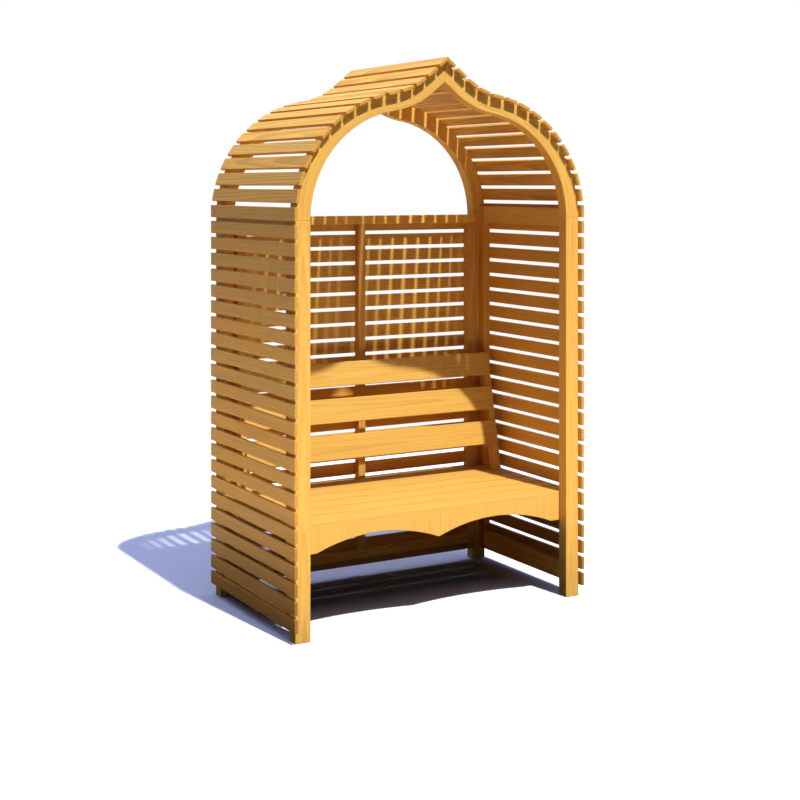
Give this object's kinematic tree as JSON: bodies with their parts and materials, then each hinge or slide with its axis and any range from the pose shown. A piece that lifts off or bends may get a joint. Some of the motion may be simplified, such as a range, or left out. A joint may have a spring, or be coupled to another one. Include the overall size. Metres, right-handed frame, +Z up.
{
  "type": "arbour seat",
  "caption": "Free-standing timber arbour seat: a boarded bench with a raked slatted back under an ogee arch roof of narrow slats, with slatted sides and back.",
  "frame": {"origin": "on the ground, midway between the side panels and midway between the front and back faces", "axes": "+Z up; -Y is the open front and +Y the back panel; +X is the right-hand side seen from the front"},
  "size_m": [1.202, 0.73, 1.9992],
  "materials": {
    "frame_timber": "planed softwood, honey-coloured treatment, satin",
    "slat_timber": "planed softwood slats, honey-coloured treatment, satin",
    "seat_timber": "planed softwood boards, honey-coloured treatment, satin"
  },
  "bodies": {
    "root": {"post_front_left": "frame_timber", "post_front_right": "frame_timber", "post_back_left": "frame_timber", "post_back_right": "frame_timber", "rib_front_left": "frame_timber", "rib_front_right": "frame_timber", "rib_back_left": "frame_timber", "rib_back_right": "frame_timber", "roof_slat_left_01": "slat_timber", "roof_slat_left_02": "slat_timber", "roof_slat_left_03": "slat_timber", "roof_slat_left_04": "slat_timber", "roof_slat_left_05": "slat_timber", "roof_slat_left_06": "slat_timber", "roof_slat_left_07": "slat_timber", "roof_slat_left_08": "slat_timber", "roof_slat_left_09": "slat_timber", "roof_slat_left_10": "slat_timber", "roof_slat_left_11": "slat_timber", "roof_slat_left_12": "slat_timber", "roof_slat_left_13": "slat_timber", "roof_slat_left_14": "slat_timber", "roof_slat_right_01": "slat_timber", "roof_slat_right_02": "slat_timber", "roof_slat_right_03": "slat_timber", "roof_slat_right_04": "slat_timber", "roof_slat_right_05": "slat_timber", "roof_slat_right_06": "slat_timber", "roof_slat_right_07": "slat_timber", "roof_slat_right_08": "slat_timber", "roof_slat_right_09": "slat_timber", "roof_slat_right_10": "slat_timber", "roof_slat_right_11": "slat_timber", "roof_slat_right_12": "slat_timber", "roof_slat_right_13": "slat_timber", "roof_slat_right_14": "slat_timber", "side_slats_left": "slat_timber", "side_slats_right": "slat_timber", "side_top_rail_left": "frame_timber", "side_top_rail_right": "frame_timber", "side_bottom_rail_left": "frame_timber", "side_bottom_rail_right": "frame_timber", "back_slats": "slat_timber", "back_top_rail": "frame_timber", "back_bottom_rail": "frame_timber", "seat_board_1": "seat_timber", "seat_board_2": "seat_timber", "seat_board_3": "seat_timber", "seat_board_4": "seat_timber", "seat_board_5": "seat_timber", "seat_board_6": "seat_timber", "seat_apron": "seat_timber", "seat_bearer_left": "frame_timber", "seat_bearer_right": "frame_timber", "seat_bearer_centre": "frame_timber", "backrest_board_1": "seat_timber", "backrest_board_2": "seat_timber", "backrest_board_3": "seat_timber", "backrest_support_left": "frame_timber", "backrest_support_right": "frame_timber"}
  },
  "joints": []
}
